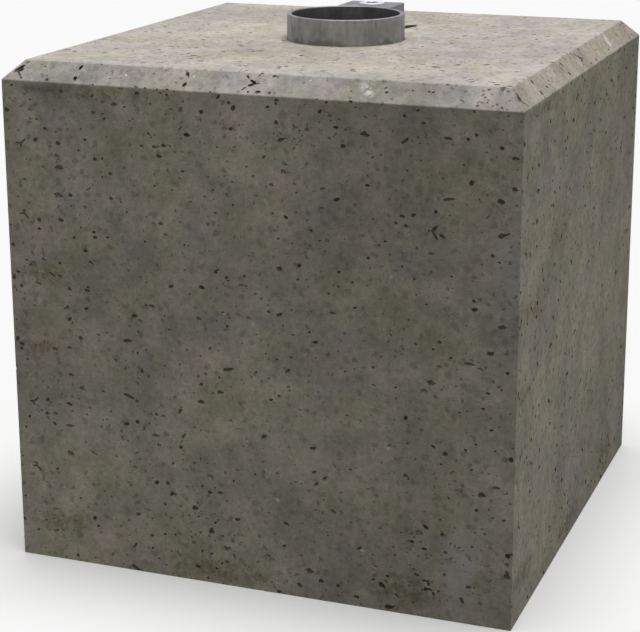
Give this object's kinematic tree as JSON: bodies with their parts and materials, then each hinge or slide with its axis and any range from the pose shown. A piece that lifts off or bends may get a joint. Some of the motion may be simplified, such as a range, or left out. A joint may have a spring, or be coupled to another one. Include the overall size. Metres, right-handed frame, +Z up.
{
  "type": "sign post foundation block",
  "caption": "Near-cubic precast concrete block with chamfered top edges and a steel sleeve with a locking lug, which holds a round sign post upright by its weight.",
  "frame": {"origin": "centre of the block's underside", "axes": "+Z up along the sleeve, +Y towards the lug at the back, front face at -Y"},
  "size_m": [0.3, 0.3, 0.3124],
  "materials": {
    "concrete": "cast concrete with small air holes, light beige grey, matt",
    "weathered_zinc": "hot-dip galvanised steel, dulled and faintly streaked",
    "bright_zinc": "bright zinc plate"
  },
  "bodies": {
    "root": {"concrete_block": "concrete", "post_sleeve": "weathered_zinc", "lock_lug": "weathered_zinc", "locking_screw": "bright_zinc"}
  },
  "joints": []
}
